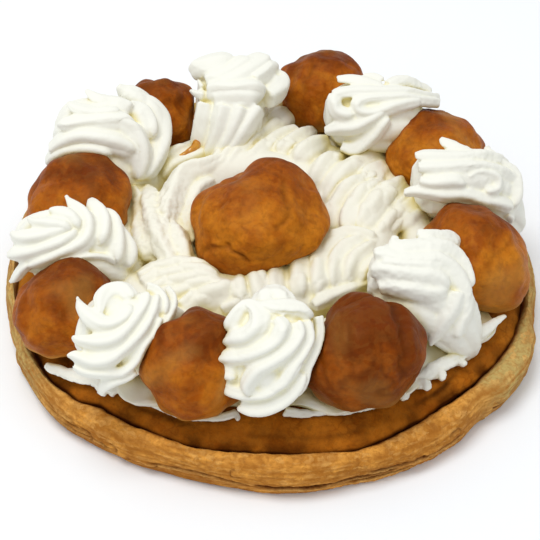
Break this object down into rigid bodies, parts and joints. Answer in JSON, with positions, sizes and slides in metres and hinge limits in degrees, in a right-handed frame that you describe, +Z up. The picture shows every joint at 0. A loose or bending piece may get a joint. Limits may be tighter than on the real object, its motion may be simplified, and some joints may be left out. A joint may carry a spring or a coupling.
{
  "type": "saint-honore cake",
  "caption": "Round layered pastry: puff pastry base, choux layer, ring of choux puffs alternating with piped cream rosettes, and a puff in the middle of the cream.",
  "frame": {"origin": "centre of the flat underside of the puff pastry base", "axes": "+Z up, -Y towards the front of the pictured cake, +X to its right"},
  "size_m": [0.2259, 0.2306, 0.0671],
  "materials": {
    "puff_pastry": "baked, dry and flaky",
    "choux_layer": "baked, matt",
    "choux_crust": "baked, satin",
    "whipped_cream": "soft satin"
  },
  "bodies": {
    "root": {"puff_pastry_base": "puff_pastry", "choux_layer": "choux_layer", "choux_puff_1": "choux_crust", "choux_puff_2": "choux_crust", "choux_puff_3": "choux_crust", "choux_puff_4": "choux_crust", "choux_puff_5": "choux_crust", "choux_puff_6": "choux_crust", "choux_puff_7": "choux_crust", "choux_puff_8": "choux_crust", "choux_puff_centre": "choux_crust", "cream_rosette_1": "whipped_cream", "cream_rosette_2": "whipped_cream", "cream_rosette_3": "whipped_cream", "cream_rosette_4": "whipped_cream", "cream_rosette_5": "whipped_cream", "cream_rosette_6": "whipped_cream", "cream_rosette_7": "whipped_cream", "cream_rosette_8": "whipped_cream", "cream_filling": "whipped_cream"}
  },
  "joints": []
}
